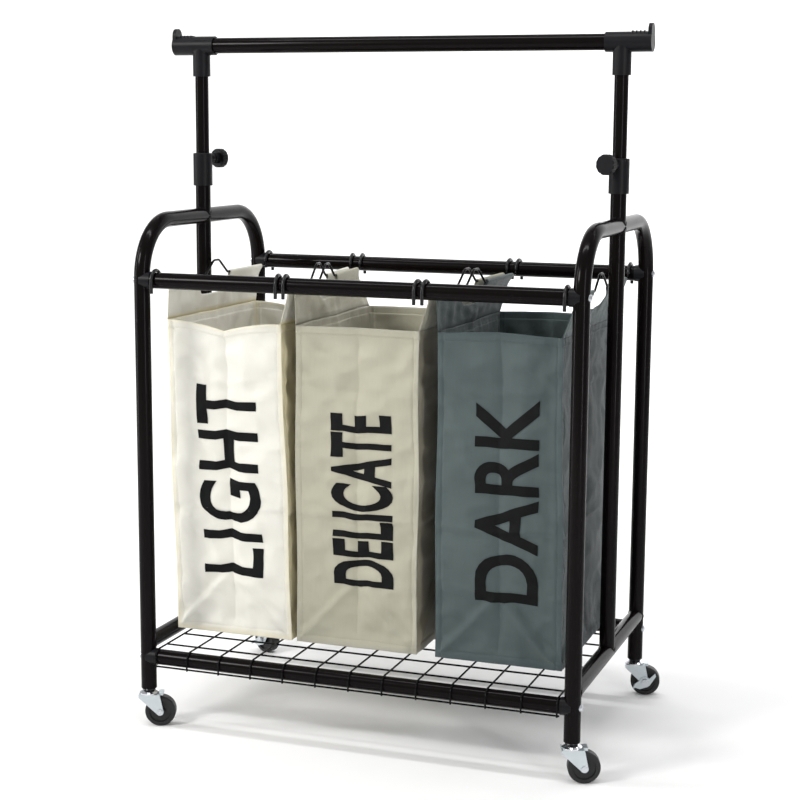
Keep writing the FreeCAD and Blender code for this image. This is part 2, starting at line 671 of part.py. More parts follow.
def export_all():
    os.makedirs("parts", exist_ok=True)
    box = FreeCAD.BoundBox()
    for group in nodes.values():
        for solid in group:
            box.add(solid.optimalBoundingBox(False, False))
    shift = Vec(-box.Center.x, -box.Center.y, -box.ZMin)
    print("moved to the middle of the footprint by", shift)
    print("overall size", box.XLength, box.YLength, box.ZLength)
    for name, group in nodes.items():
        shape = group[0] if len(group) == 1 else Part.makeCompound(group)
        shape = shape.copy()
        shape.translate(shift)
        bad = [s for s in shape.Solids if not s.isValid()]
        if bad or not shape.Solids:
            print("check", name, len(bad))
        shape.exportStep("parts/" + name + ".step")
    print(len(nodes), "nodes")


make_frame()
print("frame")
make_shelf()
print("shelf")
make_hanging_rail()
print("hanging rail")
make_bags()
print("bags")
make_casters()
print("casters")
export_all()
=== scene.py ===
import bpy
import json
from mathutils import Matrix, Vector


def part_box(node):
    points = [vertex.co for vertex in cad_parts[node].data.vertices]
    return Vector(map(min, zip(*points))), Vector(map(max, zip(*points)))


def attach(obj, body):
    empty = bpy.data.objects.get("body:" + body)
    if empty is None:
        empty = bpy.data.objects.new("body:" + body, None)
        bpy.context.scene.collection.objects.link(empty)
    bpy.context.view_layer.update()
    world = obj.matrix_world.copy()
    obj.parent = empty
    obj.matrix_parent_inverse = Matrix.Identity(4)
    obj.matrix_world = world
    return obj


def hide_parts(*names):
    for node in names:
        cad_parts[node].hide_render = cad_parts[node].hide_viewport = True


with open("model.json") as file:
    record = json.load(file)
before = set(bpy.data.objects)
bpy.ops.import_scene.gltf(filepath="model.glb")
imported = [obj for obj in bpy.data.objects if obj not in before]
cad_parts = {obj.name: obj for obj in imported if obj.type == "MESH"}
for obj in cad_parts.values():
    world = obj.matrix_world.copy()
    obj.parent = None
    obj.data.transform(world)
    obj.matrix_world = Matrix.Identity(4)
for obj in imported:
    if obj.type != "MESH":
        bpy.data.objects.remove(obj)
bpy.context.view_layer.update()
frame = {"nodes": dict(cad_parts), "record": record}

import json
import math
import bpy
import bmesh
import numpy as np
from mathutils import Matrix, Vector

nodes = frame["nodes"]
print("frame loaded,", len(nodes), "CAD nodes")


def meshFromArrays(name, points, faces, uv=None):
    # points: (count, 3) or a grid of them; faces: (count, 4) point numbers; uv: one place for each point
    mesh = bpy.data.meshes.new(name)
    mesh.from_pydata(points.reshape(-1, 3).tolist(), [], faces.tolist())
    if uv is not None:
        layer = mesh.uv_layers.new(name="cloth")
        corners = np.asarray(faces).ravel()
        layer.data.foreach_set("uv", uv.reshape(-1, 2)[corners].astype(np.float32).ravel())
    mesh.update()
    piece = bpy.data.objects.new(name, mesh)
    bpy.context.scene.collection.objects.link(piece)
    return piece


def gridFaces(rows, columns, start=0, flip=False):
    # each cell of a rows x columns grid of points is one four-sided face
    index = np.arange(rows * columns).reshape(rows, columns) + start
    quads = np.stack([index[:-1, :-1], index[:-1, 1:], index[1:, 1:], index[1:, :-1]], -1)
    quads = quads.reshape(-1, 4)
    return quads[:, ::-1] if flip else quads


def joinedGrids(name, grids, merge=2e-5):
    # grids: (points, uv, flip) with points rows x columns x 3; shared edges are welded
    points, uvs, faces, start = [], [], [], 0
    for place, uv, flip in grids:
        rows, columns = place.shape[:2]
        faces.append(gridFaces(rows, columns, start, flip))
        points.append(place.reshape(-1, 3))
        uvs.append(uv.reshape(-1, 2))
        start += rows * columns
    piece = meshFromArrays(name, np.concatenate(points), np.concatenate(faces), np.concatenate(uvs))
    work = bmesh.new()
    work.from_mesh(piece.data)
    bmesh.ops.remove_doubles(work, verts=work.verts, dist=merge)
    work.to_mesh(piece.data)
    work.free()
    return piece


def smoothFaces(piece):
    piece.data.polygons.foreach_set("use_smooth", np.ones(len(piece.data.polygons), bool))
    piece.data.update()


def thicken(piece, thickness):
    # a wall that grows inwards from the outer face
    shell = piece.modifiers.new("thickness", "SOLIDIFY")
    shell.thickness = thickness
    shell.offset = -1.0
    shell.use_quality_normals = True


def wave(x, y, seed, lengths, count=7):
    # a smooth uneven field between about -1 and 1: a sum of sine waves in seeded directions
    pick = np.random.default_rng(seed)
    total = np.zeros(np.broadcast(x, y).shape)
    for _ in range(count):
        angle = pick.uniform(0, 2 * math.pi)
        length = pick.uniform(*lengths)
        phase = pick.uniform(0, 2 * math.pi)
        total = total + np.sin(2 * math.pi * (x * math.cos(angle) + y * math.sin(angle)) / length + phase)
    return total / math.sqrt(count)


def smooth(low, high, value):
    # 0 below low and 1 above high, with a soft S between them: t * t * (3 - 2 * t)
    t = np.clip((value - low) / (high - low), 0.0, 1.0)
    return t * t * (3 - 2 * t)


def ridge(distance, width):
    # a fold line: highest on the line, falling off at once on both sides
    return np.exp(-np.abs(distance) / width)


class Value:
    # wraps one node socket; + - * / and the named functions add Math nodes
    def __init__(self, maker, socket):
        self.maker = maker
        self.socket = socket

    def math(self, operation, other=None):
        values = [self] if other is None else [self, other]
        return self.maker.node("ShaderNodeMath", {"operation": operation}, dict(enumerate(values)))

    def __add__(self, other):
        return self.math("ADD", other)

    def __sub__(self, other):
        return self.math("SUBTRACT", other)

    def __mul__(self, other):
        return self.math("MULTIPLY", other)

    def __rmul__(self, other):
        return self.math("MULTIPLY", other)

    def __radd__(self, other):
        return self.math("ADD", other)

    def __rsub__(self, other):
        return (self * -1.0).math("ADD", other)

    def __truediv__(self, other):
        return self.math("DIVIDE", other)

    def sine(self):
        return self.math("SINE")

    def size(self):
        return self.math("ABSOLUTE")

    def clear(self):
        return self.maker.node("ShaderNodeClamp", {}, {0: self})  # keeps the value from 0 to 1


# numbers of a Mix node's colour sockets
mixSocket = {"share": 0, "first": 6, "second": 7, "result": 2}


class Finish:
    # one material: makes its nodes, and sets or links their sockets by name or number
    def __init__(self, name):
        self.material = bpy.data.materials.new(name)
        self.material.use_nodes = True
        self.tree = self.material.node_tree
        self.shader = self.tree.nodes["Principled BSDF"]

    def node(self, kind, settings, sockets, output=0):
        made = self.tree.nodes.new(kind)
        for key, value in settings.items():
            setattr(made, key, value)
        for key, value in sockets.items():
            self.put(made.inputs[key], value)
        return Value(self, made.outputs[output])

    def put(self, socket, value):
        if isinstance(value, Value):
            self.tree.links.new(value.socket, socket)
        else:
            socket.default_value = value

    def place(self, kind="Object"):
        return self.node("ShaderNodeTexCoord", {}, {}, kind)

    def part(self, vector, axis):
        return self.node("ShaderNodeSeparateXYZ", {}, {0: vector}, axis)

    def noise(self, vector, scale, detail=3.0, rough=0.55):
        sockets = {"Vector": vector, "Scale": scale, "Detail": detail, "Roughness": rough}
        return self.node("ShaderNodeTexNoise", {}, sockets, "Fac")

    def stretch(self, vector, scale):
        return self.node("ShaderNodeMapping", {}, {"Vector": vector, "Scale": scale})

    def mix(self, share, first, second):
        sockets = {mixSocket["share"]: share, mixSocket["first"]: first, mixSocket["second"]: second}
        return self.node("ShaderNodeMix", {"data_type": "RGBA"}, sockets, mixSocket["result"])

    def bump(self, height, strength, distance):
        sockets = {"Height": height, "Strength": strength, "Distance": distance}
        return self.node("ShaderNodeBump", {}, sockets)

    def set(self, **values):
        for key, value in values.items():
            self.put(self.shader.inputs[key.replace("_", " ")], value)
        return self.material


def clothFinish(name, look):
    # plain-woven cloth: fine threads both ways, cloudy tone, crumples, a seam colour along the sewn edges,
    # and painted shade on the side panels, which lie in shadow between the bags. UV x runs round the
    # bag, UV y is the height
    finish = Finish(name)
    flat = finish.place("UV")
    across = finish.part(flat, 0)
    along = finish.part(flat, 1)
    turn = 2 * math.pi / look["thread"]
    threads = (across * turn).sine() * (along * turn).sine()
    cloudy = finish.noise(flat, 9.0, 4.0)
    slubs = finish.noise(finish.stretch(flat, (260.0, 28.0, 1.0)), 1.0, 2.0)
    crumple = finish.noise(flat, 46.0, 5.0, 0.6)
    folds = finish.noise(flat, 15.0, 3.0, 0.5)
    # a face panel and a side panel make one round of the seams, and the bag has two rounds
    face, period = look["face"], look["face"] + look["side"]
    spot = across.math("MODULO", period)
    edge = spot.math("MINIMUM", (spot - face).size()).math("MINIMUM", period - spot)
    hem = (along - look["hem"]).size()
    foot = (along - look["foot"]).size()
    sewn = edge.math("MINIMUM", hem.math("MINIMUM", foot))
    piping = (1.0 - sewn / look["seamWidth"]).clear() * (0.55 + crumple * 0.6)
    soft = look["soft"]
    isSide = ((across - face) / soft).clear() * ((period - across) / soft).clear()
    isSide = isSide * ((look["hem"] + look["hemSoft"] - along) / look["hemSoft"]).clear()
    shade = (cloudy * 0.7 + slubs * 0.3 + threads * 0.05).clear()
    colour = finish.mix(shade, look["dark"], look["pale"])
    # painted shade: the side panels are darkened (khaki on the cream bag) because they lie in shadow
    # between the bags
    colour = finish.mix((isSide * look["paintedSideShadeShare"]).clear(), colour, look["paintedSideShade"])
    colour = finish.mix((piping * look["seamShare"]).clear(), colour, look["seam"])
    height = crumple * 0.8 + folds * 1.1 + threads * 0.10 + slubs * 0.12
    normal = finish.bump(height, look["bump"], 0.0020)
    return finish.set(Base_Color=colour, Roughness=look["rough"] + cloudy * 0.1, Normal=normal,
                      Sheen_Weight=look["sheen"], Sheen_Roughness=0.45, Specular_IOR_Level=0.25)


def paintFinish(name, look):
    # stove-enamelled tube: a glossy coat with faint orange peel and fine dust
    finish = Finish(name)
    spot = finish.place()
    peel = finish.noise(spot, 300.0, 2.0)
    dust = finish.noise(spot, 60.0, 5.0, 0.7)
    cloudy = finish.noise(spot, 7.0, 3.0)
    colour = finish.mix((cloudy * 0.8 + dust * 0.2).clear(), look["dark"], look["pale"])
    rough = look["rough"] + dust * 0.08
    normal = finish.bump(peel, 0.06, 0.0005)
    return finish.set(Base_Color=colour, Roughness=rough, Normal=normal, Coat_Weight=look["coat"],
                      Coat_Roughness=look["coatRough"], Specular_IOR_Level=look["shine"])


def plasticFinish(name, look):
    # moulded plastic: fine spark-eroded grain, edges of sheen, slight cloudiness
    finish = Finish(name)
    spot = finish.place()
    grain = finish.noise(spot, 1500.0, 2.0)
    cloudy = finish.noise(spot, 35.0, 4.0)
    colour = finish.mix(cloudy, look["dark"], look["pale"])
    normal = finish.bump(grain, look["grain"], 0.0004)
    return finish.set(Base_Color=colour, Roughness=look["rough"] + cloudy * 0.12, Normal=normal,
                      Specular_IOR_Level=look.get("shine", 0.35))


def metalFinish(name, look):
    # plated steel: rolling lines, a blotchy passivated film and small scuffs
    finish = Finish(name)
    spot = finish.place()
    lines = finish.noise(finish.stretch(spot, look["lines"]), 1.0, 2.0)
    film = finish.noise(spot, 55.0, 4.0, 0.6)
    scuffs = finish.noise(spot, 700.0, 2.0)
    colour = finish.mix((film * 0.75 + lines * 0.25).clear(), look["dark"], look["pale"])
    rough = look["rough"] + film * look["vary"] + scuffs * 0.04
    normal = finish.bump(lines * 0.6 + film * 0.4, look["bump"], 0.0005)
    return finish.set(Base_Color=colour, Roughness=rough, Normal=normal, Metallic=1.0)


def colourOf(red, green, blue):
    return (red, green, blue, 1.0)


# widths of the panels, heights of the sewn edges, thread pitch, width of a sewn edge's colour band and of
# the change from the front colour to the painted shade of the side panels
bagMeasure = {"face": 0.206, "side": 0.334, "hem": 0.6640, "foot": 0.1475, "thread": 0.0011,
              "seamWidth": 0.0095, "soft": 0.004, "hemSoft": 0.003}
# the side-panel colour and share in each look below are painted shade for the side panels, which lie in
# shadow between the bags
creamCloth = clothFinish("creamCloth", dict(bagMeasure, **{
    "pale": colourOf(0.81, 0.80, 0.745), "dark": colourOf(0.745, 0.73, 0.64),
    "seam": colourOf(0.80, 0.71, 0.44), "seamShare": 0.55,
    "paintedSideShade": colourOf(0.60, 0.50, 0.23), "paintedSideShadeShare": 0.65,
    "rough": 0.68, "sheen": 0.12, "bump": 0.55}))
taupeCloth = clothFinish("taupeCloth", dict(bagMeasure, **{
    "pale": colourOf(0.485, 0.470, 0.375), "dark": colourOf(0.390, 0.375, 0.285),
    "seam": colourOf(0.41, 0.395, 0.34), "seamShare": 0.5,
    "paintedSideShade": colourOf(0.20, 0.170, 0.115), "paintedSideShadeShare": 0.70,
    "rough": 0.60, "sheen": 0.15, "bump": 0.6}))
slateCloth = clothFinish("slateCloth", dict(bagMeasure, **{
    "pale": colourOf(0.088, 0.117, 0.116), "dark": colourOf(0.055, 0.075, 0.076),
    "seam": colourOf(0.055, 0.078, 0.088), "seamShare": 0.6,
    "paintedSideShade": colourOf(0.022, 0.030, 0.032), "paintedSideShadeShare": 0.75,
    "rough": 0.55, "sheen": 0.2, "bump": 0.6}))
framePaint = paintFinish("framePaint", {
    "pale": colourOf(0.0050, 0.0032, 0.0032), "dark": colourOf(0.0020, 0.0014, 0.0017),
    "rough": 0.18, "shine": 0.05, "coat": 0.07, "coatRough": 0.04})
wirePaint = paintFinish("wirePaint", {
    "pale": colourOf(0.0045, 0.0042, 0.0045), "dark": colourOf(0.0024, 0.0024, 0.0028),
    "rough": 0.22, "shine": 0.06, "coat": 0.07, "coatRough": 0.06})
blackPlastic = plasticFinish("blackPlastic", {
    "pale": colourOf(0.0085, 0.0088, 0.0105), "dark": colourOf(0.0042, 0.0042, 0.0052), "rough": 0.32,
    "grain": 0.22, "shine": 0.14})
blackVinyl = plasticFinish("blackVinyl", {
    "pale": colourOf(0.010, 0.010, 0.011), "dark": colourOf(0.005, 0.005, 0.006), "rough": 0.24,
    "grain": 0.08})
wheelPlastic = plasticFinish("wheelPlastic", {
    "pale": colourOf(0.014, 0.014, 0.015), "dark": colourOf(0.006, 0.006, 0.007), "rough": 0.42,
    "grain": 0.3})
zincPlate = metalFinish("zincPlate", {
    "pale": colourOf(0.66, 0.71, 0.73), "dark": colourOf(0.50, 0.55, 0.58), "rough": 0.30, "vary": 0.16,
    "lines": (18.0, 18.0, 700.0), "bump": 0.14})
chromePlate = metalFinish("chromePlate", {
    "pale": colourOf(0.80, 0.81, 0.84), "dark": colourOf(0.66, 0.67, 0.71), "rough": 0.07, "vary": 0.08,
    "lines": (30.0, 30.0, 300.0), "bump": 0.05})
boltSteel = metalFinish("boltSteel", {
    "pale": colourOf(0.70, 0.72, 0.75), "dark": colourOf(0.50, 0.52, 0.55), "rough": 0.20, "vary": 0.14,
    "lines": (500.0, 40.0, 40.0), "bump": 0.10})
blackInk = plasticFinish("blackInk", {
    "pale": colourOf(0.0070, 0.0072, 0.0078), "dark": colourOf(0.0045, 0.0048, 0.0052), "rough": 0.7,
    "grain": 0.4, "shine": 0.12})
threadFinishes = {
    "light": plasticFinish("creamThread", {
        "pale": colourOf(0.70, 0.67, 0.53), "dark": colourOf(0.60, 0.56, 0.42), "rough": 0.6,
        "grain": 0.4}),
    "delicate": plasticFinish("taupeThread", {
        "pale": colourOf(0.36, 0.34, 0.27), "dark": colourOf(0.29, 0.27, 0.21), "rough": 0.6,
        "grain": 0.4}),
    "dark": plasticFinish("slateThread", {
        "pale": colourOf(0.085, 0.108, 0.112), "dark": colourOf(0.06, 0.078, 0.082), "rough": 0.6,
        "grain": 0.4}),
}

finishOfSlot = {
    "frame_paint": framePaint, "shelf_wire": wirePaint, "hanger_wire": wirePaint,
    "black_plastic": blackPlastic, "black_vinyl": blackVinyl, "wheel_black": wheelPlastic,
    "chrome": chromePlate, "zinc_plate": zincPlate, "steel_fastener": boltSteel,
    "cream_cloth": creamCloth, "taupe_cloth": taupeCloth, "slate_cloth": slateCloth,
}
for part in frame["record"]["subparts"]:
    shown = nodes[part["node"]]
    shown.data.materials.clear()
    shown.data.materials.append(finishOfSlot[part["material_slot"]])
print("materials made")


bagMake = {
    "hem": 0.662,            # height of the sewn rim
    "band": 0.013,           # width of the turned hem
    "cloth": 0.0011,
    "seam": 0.0090,          # a panel's edge to its seam
    "footSeam": 0.0125,      # the bag's foot to the seam above it
    "flapRise": 0.062,       # the rim to the middle of the hanger wire
    "tunnelRadius": 0.0034,  # cloth loop round the hanger wire
    "foldDown": 0.016,       # how far the loop's end hangs down inside
    "flapFront": -0.170,     # where a flap's two ends sit on the wire
    "flapBack": 0.182,
    "slotHalf": 0.050,       # hand opening in a flap
    "slotBottom": 0.693,
    "slotCorner": 0.014,
    "wander": 0.0017,        # how far the sewn edges stray on the way down
}
# sag: how far the middle of the front and back rim drops; rimIn: how far it leans in.
# print: left, right, bottom and top of the word; lean and kink: its slant and its jog at the fold.
# bold and gap: how much its strokes are swollen and its letters set apart.
# corner: sideways pull of the front left, front right, back right and back left top corners
bagLooks = {
    "light": {
        "cloth": creamCloth, "slot": "cream_cloth", "seed": 11, "sag": 0.015, "sagShape": 2.0,
        "rimIn": 0.000, "word": "LIGHT", "print": (-0.288, -0.180, 0.246, 0.561),
        "lean": -0.011, "kink": 0.0045,
        "bold": 0.020, "gap": 1.10, "corner": (-0.0080, 0.0, 0.0, 0.0)},
    "delicate": {
        "cloth": taupeCloth, "slot": "taupe_cloth", "seed": 23, "sag": -0.001, "sagShape": 0.9,
        "rimIn": 0.002, "word": "DELICATE", "print": (-0.060, 0.045, 0.249, 0.527),
        "lean": -0.005, "kink": -0.0025,
        "bold": 0.030, "gap": 1.0, "corner": (0.0, 0.0, 0.0, 0.0)},
    "dark": {
        "cloth": slateCloth, "slot": "slate_cloth", "seed": 37, "sag": -0.004, "sagShape": 0.9,
        "rimIn": 0.006, "word": "DARK", "print": (0.177, 0.279, 0.245, 0.565),
        "lean": -0.002, "kink": -0.002,
        "bold": 0.020, "gap": 1.04, "corner": (-0.0015, -0.0010, 0.0, 0.0)},
}
# depths of the folds. Where there are two, the first is on the front and back and the second on the sides
clothFolds = {
    "belly": (0.0060, 0.0022),
    "middle": (0.0050, 0.0075), "middleWidth": 0.011,
    "vee": (0.0035, 0.0045), "veeHalf": 0.075,
    "creases": ((0.358, 0.0040, 0.0034, 0.008), (0.572, 0.0022, 0.0016, 0.007)),
    "creaseWidth": 0.006, "hollowWidth": 0.012, "creaseSway": 0.004,
    "peak": 0.110, "corner": 0.0060, "cornerHollow": 0.0042, "cornerWidth": 0.0055, "inside": 0.0050,
    "pull": 0.0026, "pullReach": 0.16,
    "soft": 0.0021, "crisp": 0.0016, "fine": 0.00045,
    "pucker": 0.0005, "puckerPitch": 0.0135, "groove": 0.0011, "grooveWidth": 0.0014,
    "footGroove": 0.0009, "footWidth": 0.0015,
    "hemStep": 0.0009, "hemPucker": 0.0004, "hemPitch": 0.017,
    "sideLimit": 0.0045,     # a side panel never stands out further, so that the bags stay apart
}


def vertexPlaces(node):
    # a CAD node's points as a (count, 3) array
    mesh = nodes[node].data
    places = np.zeros(len(mesh.vertices) * 3)
    mesh.vertices.foreach_get("co", places)
    return places.reshape(-1, 3)


def hangerLine(node):
    # the wire's x at its front and back hooks, read from the CAD wire
    places = vertexPlaces(node)
    low, high = places[:, 1].min(), places[:, 1].max()
    front = places[places[:, 1] < low + 0.004]
    back = places[places[:, 1] > high - 0.004]
    return (low, front[:, 0].mean()), (high, back[:, 0].mean())


class BagShape:
    # four side panels, numbered 0 front, 1 right, 2 back and 3 left, between a foot rectangle and
    # a rim rectangle that are both read from the CAD bag
    def __init__(self, name):
        look = bagLooks[name]
        places = vertexPlaces(name + "_bag")
        foot = places[places[:, 2] < places[:, 2].min() + 0.0002]
        rim = places[np.abs(places[:, 2] - bagMake["hem"]) < 0.0002]
        band = 0.0008        # the hem's own thickness
        self.name = name
        self.look = look
        self.low = places[:, 2].min()
        self.high = bagMake["hem"]
        self.footBox = (foot[:, 0].min(), foot[:, 0].max(), foot[:, 1].min(), foot[:, 1].max())
        low, high = rim.min(0) + band, rim.max(0) - band
        self.rimBox = (low[0], high[0], low[1], high[1])
        self.seed = look["seed"]

    def corners(self, z):
        # front left, front right, back right and back left at height z, on nearly straight
        # lines from the foot to the rim
        share = (z - self.low) / (self.high - self.low)
        left, right, front, back = [a + (b - a) * share for a, b in zip(self.footBox, self.rimBox)]
        # the hooks pull each top corner sideways, and the sewn edges wander a little on the way down
        free = np.clip(share * (1 - share) * 4, 0, 1)
        pulled = []
        for k, place in enumerate(self.look["corner"]):
            stray = np.sin(z * (15 + 4 * k) + self.seed + 2 * k)
            pulled.append(place * share + bagMake["wander"] * free * stray)
        return [(left + pulled[0], front), (right + pulled[1], front),
                (right + pulled[2], back), (left + pulled[3], back)]

    def panelWidth(self, side):
        # the distance between two neighbouring corners at the foot
        (ax, ay), (bx, by) = [self.corners(self.low)[k % 4] for k in (side, side + 1)]
        return math.hypot(bx - ax, by - ay)

    def push(self, side, a, z):
        # how far the cloth stands out from the flat panel: a soft belly, the packing folds
        # down the middle, across and up from the foot corners, seam grooves and fine crumples
        width = self.panelWidth(side)
        x = (a - 0.5) * width
        h = z - self.low
        tall = self.high - self.low
        edge = width / 2 - np.abs(x)
        rise = np.clip(h / tall, 0, 1)
        face = side in (0, 2)
        kind = 0 if face else 1
        seed = self.seed + 100 * side
        fold = clothFolds
        belly = fold["belly"][kind] * (1 - (2 * x / width) ** 2) * np.sin(math.pi * rise) ** 0.8
        wander = 0.0012 * np.sin(h * 21 + seed)
        middle = -fold["middle"][kind] * ridge(x - wander, fold["middleWidth"]) * smooth(0.0, 0.05, h)
        vee = -fold["vee"][kind] * np.clip(1 - np.abs(x) / fold["veeHalf"], 0, 1) * smooth(0, 0.1, h)
        sway = fold["creaseSway"] * np.sin(x * 30 + seed)
        across = 0.0
        for height, raised, sunk, below in fold["creases"]:
            across = across + raised * ridge(z - height - sway, fold["creaseWidth"])
            across = across - sunk * ridge(z - height + below - sway, fold["hollowWidth"])
        # the foot was folded flat once: a ridge from each foot corner up to the peak
        slope = (width / 2) / fold["peak"] if face else 1.0
        line = (edge - h * slope) / math.sqrt(1 + slope * slope)
        reach = smooth(fold["peak"] * 1.12, fold["peak"] * 0.8, h)
        corner = fold["corner"] * ridge(line, fold["cornerWidth"])
        corner = (corner - fold["cornerHollow"] * ridge(line + 0.012, fold["hollowWidth"])) * reach
        inside = -fold["inside"] * smooth(0.0, 0.03, line) * reach * smooth(0.0, 0.03, h)
        pulls = fold["pull"] * np.sin((edge * 0.9 - (tall - h)) * 95 + seed)
        pulls = pulls * smooth(tall - fold["pullReach"], tall - 0.03, h) * np.exp(-edge / 0.05)
        soft = fold["soft"] * wave(x, z, seed + 1, (0.07, 0.19))
        bend = wave(x, z, seed + 2, (0.05, 0.14), 5)
        crisp = fold["crisp"] - 2 * fold["crisp"] * (bend * bend + 0.02) ** 0.4
        fine = fold["fine"] * wave(x, z, seed + 3, (0.020, 0.045))
        stitched = np.sin(z * 2 * math.pi / fold["puckerPitch"] + 2.2 * np.sin(z * 37 + seed))
        pucker = fold["pucker"] * stitched * np.exp(-((edge - bagMake["seam"]) / 0.007) ** 2)
        groove = -fold["groove"] * np.exp(-((edge - bagMake["seam"]) / fold["grooveWidth"]) ** 2)
        footBand = -fold["footGroove"] * np.exp(-((h - bagMake["footSeam"]) / fold["footWidth"]) ** 2)
        hem = self.high - bagMake["band"]
        hemBand = fold["hemStep"] * smooth(hem - 0.0006, hem + 0.0006, z)
        stitched = np.sin(x * 2 * math.pi / fold["hemPitch"] + 1.9 * np.sin(x * 41))
        hemPucker = fold["hemPucker"] * stitched * np.exp(-((hem - z) / 0.008) ** 2)
        free = smooth(0.0, 0.012, edge)
        body = belly + middle + vee + across + corner + inside + pulls + soft + crisp
        keep = smooth(0.0, 0.02, h) * 0.9 + 0.1
        rim = 1 - 0.55 * smooth(tall - 0.05, tall, h)
        lean = 0.0
        if face:
            tent = np.clip(1 - np.abs(x) / (width / 2), 0, 1)
            lean = -self.look["rimIn"] * smooth(0.35, 1.0, rise) * tent
        total = (body * keep * rim + lean) * free + (fine + pucker) * smooth(0.0, 0.003, edge)
        total = total + (groove + footBand) * smooth(0.001, 0.004, edge)
        return total + (hemBand + hemPucker) * smooth(0, 0.002, edge)

    def droop(self, side, a, z):
        # the rim's middle hangs lower (or is lifted) and fades out downwards
        if side not in (0, 2):
            return 0.0 * a
        rise = np.clip((z - self.low) / (self.high - self.low), 0, 1)
        tent = np.clip(1 - np.abs(2 * a - 1), 0, 1)
        return -self.look["sag"] * tent ** self.look["sagShape"] * rise ** 5

    def point(self, side, a, z, proud=0.0):
        # point on panel `side` at share a across it and height z, pushed out along its normal
        a = np.asarray(a, float)
        z = np.asarray(z, float)
        a, z = np.broadcast_arrays(a, z)
        places = self.corners(z)
        ax, ay = places[side]
        bx, by = places[(side + 1) % 4]
        outX, outY = ((0, -1), (1, 0), (0, 1), (-1, 0))[side]
        away = self.push(side, a, z) + proud
        if side in (1, 3):
            away = np.clip(away, -0.02, clothFolds["sideLimit"])
        x = ax + (bx - ax) * a + outX * away
        y = ay + (by - ay) * a + outY * away
        return np.stack([x, y, z + self.droop(side, a, z)], -1)


def fineEnds(length, cell):
    # shares 0..1 across a panel: close together by both seams and at the middle fold
    ends = np.array([0, 0.0012, 0.0026, 0.0045, 0.0066, 0.0078, 0.0090, 0.0102, 0.0116, 0.0140])
    middle = length / 2 - np.array([0.012, 0.007, 0.0035, 0.0012, 0.0])
    between = np.linspace(0.0140, middle[0], max(3, int((middle[0] - 0.0140) / cell)))[1:-1]
    half = np.concatenate([ends, between, middle])
    return np.concatenate([half, (length - half[:-1])[::-1]]) / length


def bagHeights(low, high, cell):
    # rows of points: close together at the foot seam and at the hem, even between them
    foot = low + np.array([0, 0.0015, 0.004, 0.007, 0.0100, 0.0115, 0.0125, 0.0135, 0.0155])
    band = np.array([-0.008, -0.004, -0.0014, -0.0006, 0, 0.0006, 0.0018, 0.005, 0.0095, 0.013])
    band = high - bagMake["band"] + band
    between = np.linspace(foot[-1], band[0], int((band[0] - foot[-1]) / cell))[1:-1]
    return np.concatenate([foot, between, band])


def flapColumns(shape, cell):
    # shares along a side panel, with a column at each end of the handle slot
    length = shape.rimBox[3] - shape.rimBox[2]
    cuts = [(y - shape.rimBox[2]) / length for y in (-bagMake["slotHalf"], bagMake["slotHalf"])]
    front = np.linspace(0, cuts[0], int(cuts[0] * length / cell) + 1)
    slot = np.linspace(cuts[0], cuts[1], int((cuts[1] - cuts[0]) * length / cell) + 1)
    back = np.linspace(cuts[1], 1, int((1 - cuts[1]) * length / cell) + 1)
    fine = fineEnds(length, cell)
    seamEnd, clear = 0.0142 / length, 0.015 / length
    front = np.unique(np.concatenate([fine[fine < seamEnd], front[front > clear]]))
    back = np.unique(np.concatenate([back[back < 1 - clear], fine[fine > 1 - seamEnd]]))
    return front, slot, back


